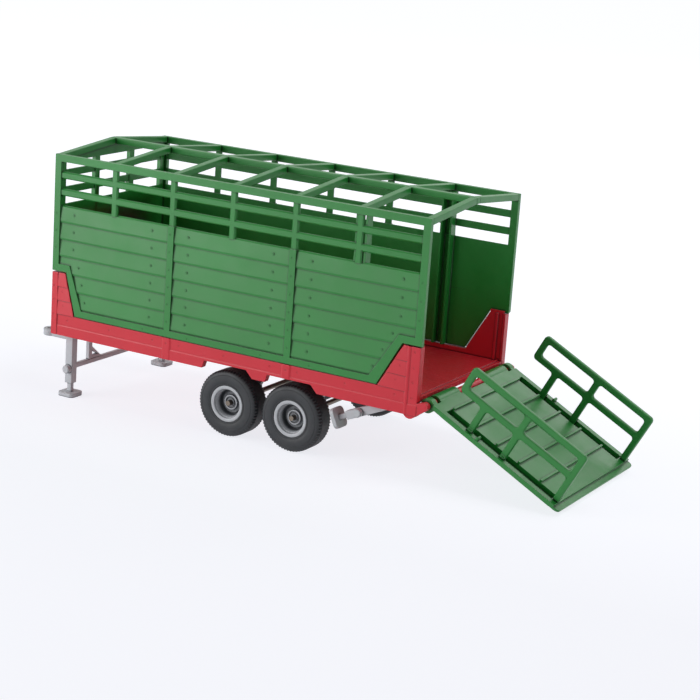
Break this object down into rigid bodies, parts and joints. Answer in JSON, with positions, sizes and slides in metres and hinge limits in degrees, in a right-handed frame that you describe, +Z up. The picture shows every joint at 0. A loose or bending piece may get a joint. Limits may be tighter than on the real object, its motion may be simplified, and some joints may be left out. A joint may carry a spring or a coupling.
{
  "type": "livestock trailer, scale model",
  "caption": "Livestock trailer as a scale model: slatted box on a folded chassis, hinged loading ramp with side rails, folding stands, rolling wheels and a drawbar with a tow eye.",
  "frame": {"origin": "on the ground, under the middle of the whole length from the tow eye to the end of the open ramp's rails, on the centre line", "axes": "+X towards the loading ramp, -Y the trailer's left side (drawbar forwards), +Z up"},
  "size_m": [0.3158, 0.0876, 0.1213],
  "materials": {
    "red_plastic": "satin",
    "green_plastic": "satin",
    "grey_plastic": "satin",
    "tyre": "matte",
    "steel": "satin"
  },
  "bodies": {
    "trailer": {"floor_pan": "red_plastic", "left_skirt": "red_plastic", "right_skirt": "red_plastic", "front_plate": "red_plastic", "hinge_sleeves": "red_plastic", "left_wall": "green_plastic", "right_wall": "green_plastic", "front_wall": "green_plastic", "roof_ridge": "green_plastic", "roof_bow_1": "green_plastic", "roof_bow_2": "green_plastic", "roof_bow_3": "green_plastic", "roof_bow_4": "green_plastic", "roof_bow_5": "green_plastic", "roof_bow_6": "green_plastic", "roof_bow_7": "green_plastic", "left_axle_bracket": "grey_plastic", "right_axle_bracket": "grey_plastic", "drawbar": "grey_plastic", "front_stand_pin": "steel", "rear_stand_pin": "steel", "ramp_pin": "steel", "body_screws": "steel"},
    "ramp": {"ramp_deck": "green_plastic", "ramp_left_rail": "green_plastic", "ramp_right_rail": "green_plastic", "ramp_catches": "green_plastic"},
    "front_stand": {"front_left_leg": "grey_plastic", "front_right_leg": "grey_plastic", "front_left_strut": "grey_plastic", "front_right_strut": "grey_plastic", "front_crossbar": "grey_plastic", "front_left_foot": "grey_plastic", "front_right_foot": "grey_plastic", "front_knobs": "grey_plastic"},
    "rear_stand": {"rear_left_leg": "grey_plastic", "rear_right_leg": "grey_plastic", "rear_left_strut": "grey_plastic", "rear_right_strut": "grey_plastic", "rear_crossbar": "grey_plastic", "rear_left_foot": "grey_plastic", "rear_right_foot": "grey_plastic", "rear_knobs": "grey_plastic"},
    "front_wheels": {"front_axle": "steel", "front_left_rim": "grey_plastic", "front_right_rim": "grey_plastic", "front_left_tyre": "tyre", "front_right_tyre": "tyre"},
    "rear_wheels": {"rear_axle": "steel", "rear_left_rim": "grey_plastic", "rear_right_rim": "grey_plastic", "rear_left_tyre": "tyre", "rear_right_tyre": "tyre"}
  },
  "joints": [
    {"name": "ramp_hinge", "type": "hinge", "parent": "trailer", "child": "ramp", "pos_m": [0.08314, 0, 0.0352], "axis": [0, -1, 0], "range_deg": [0, 117.46]},
    {"name": "front_stand_fold", "type": "hinge", "parent": "trailer", "child": "front_stand", "pos_m": [-0.11146, 0, 0.0334], "axis": [0, -1, 0], "range_deg": [0, 66]},
    {"name": "rear_stand_fold", "type": "hinge", "parent": "trailer", "child": "rear_stand", "pos_m": [0.06794, 0, 0.0334], "axis": [0, -1, 0], "range_deg": [0, 66]},
    {"name": "front_axle_spin", "type": "hinge", "parent": "trailer", "child": "front_wheels", "pos_m": [-0.01856, 0, 0.0156], "axis": [0, 1, 0], "continuous": true},
    {"name": "rear_axle_spin", "type": "hinge", "parent": "trailer", "child": "rear_wheels", "pos_m": [0.01574, 0, 0.0156], "axis": [0, 1, 0], "continuous": true}
  ]
}
